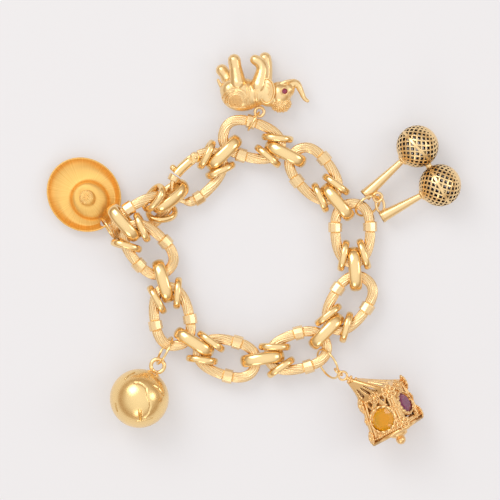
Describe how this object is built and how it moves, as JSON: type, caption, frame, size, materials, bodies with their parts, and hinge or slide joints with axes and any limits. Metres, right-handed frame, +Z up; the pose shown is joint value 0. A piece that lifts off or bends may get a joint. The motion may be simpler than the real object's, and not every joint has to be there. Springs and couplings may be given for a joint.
{
  "type": "charm bracelet",
  "caption": "Gold charm bracelet of fluted oval links and ring groups, closed in its loop, with elephant, hat, maracas, ball and gem cage charms.",
  "frame": {"origin": "middle of the footprint, on the table", "axes": "+X to the right and +Y away in the view from above, +Z up from the table"},
  "size_m": [0.1238, 0.1166, 0.0175],
  "materials": {
    "fluted_gold": "fluted satin yellow gold",
    "polished_gold": "polished yellow gold",
    "charm_gold": "cast and polished yellow gold",
    "brushed_gold": "brushed yellow gold",
    "citrine": "cut and polished yellow stone",
    "amethyst": "cut and polished violet stone",
    "ruby": "cut and polished dark red stone"
  },
  "bodies": {
    "bracelet": {"reeded_link_1": "fluted_gold", "reeded_link_2": "fluted_gold", "reeded_link_3": "fluted_gold", "reeded_link_4": "fluted_gold", "reeded_link_5": "fluted_gold", "reeded_link_6": "fluted_gold", "reeded_link_7": "fluted_gold", "reeded_link_8": "fluted_gold", "reeded_link_9": "fluted_gold", "thick_ring_1": "polished_gold", "slim_ring_1_a": "polished_gold", "slim_ring_1_b": "polished_gold", "thick_ring_2": "polished_gold", "slim_ring_2_a": "polished_gold", "slim_ring_2_b": "polished_gold", "thick_ring_3": "polished_gold", "slim_ring_3_a": "polished_gold", "slim_ring_3_b": "polished_gold", "thick_ring_4": "polished_gold", "slim_ring_4_a": "polished_gold", "slim_ring_4_b": "polished_gold", "thick_ring_5": "polished_gold", "slim_ring_5_a": "polished_gold", "slim_ring_5_b": "polished_gold", "thick_ring_6": "polished_gold", "slim_ring_6_a": "polished_gold", "slim_ring_6_b": "polished_gold", "thick_ring_7": "polished_gold", "slim_ring_7_a": "polished_gold", "slim_ring_7_b": "polished_gold", "thick_ring_8": "polished_gold", "slim_ring_8_a": "polished_gold", "slim_ring_8_b": "polished_gold", "thick_ring_9": "polished_gold", "slim_ring_9_a": "polished_gold", "slim_ring_9_b": "polished_gold", "thick_ring_10": "polished_gold", "slim_ring_10_a": "polished_gold", "slim_ring_10_b": "polished_gold", "clasp_link": "fluted_gold", "elephant": "charm_gold", "elephant_eye": "ruby", "hat": "brushed_gold", "maracas": "charm_gold", "ball": "polished_gold", "cage": "charm_gold", "citrine": "citrine", "amethyst": "amethyst", "stone_below_1": "amethyst", "stone_below_2": "citrine", "elephant_jump_ring": "polished_gold", "hat_jump_ring": "polished_gold", "maraca_jump_ring": "polished_gold", "ball_jump_ring": "polished_gold", "cage_finial_ring": "polished_gold", "cage_jump_ring": "polished_gold"},
    "gate": {"clasp_gate": "fluted_gold"}
  },
  "joints": [
    {"name": "clasp_hinge", "type": "hinge", "parent": "bracelet", "child": "gate", "pos_m": [-0.01748, 0.02741, 0.00584], "axis": [-0.1895, 0.173, -0.9665], "range_deg": [0, 35]}
  ]
}
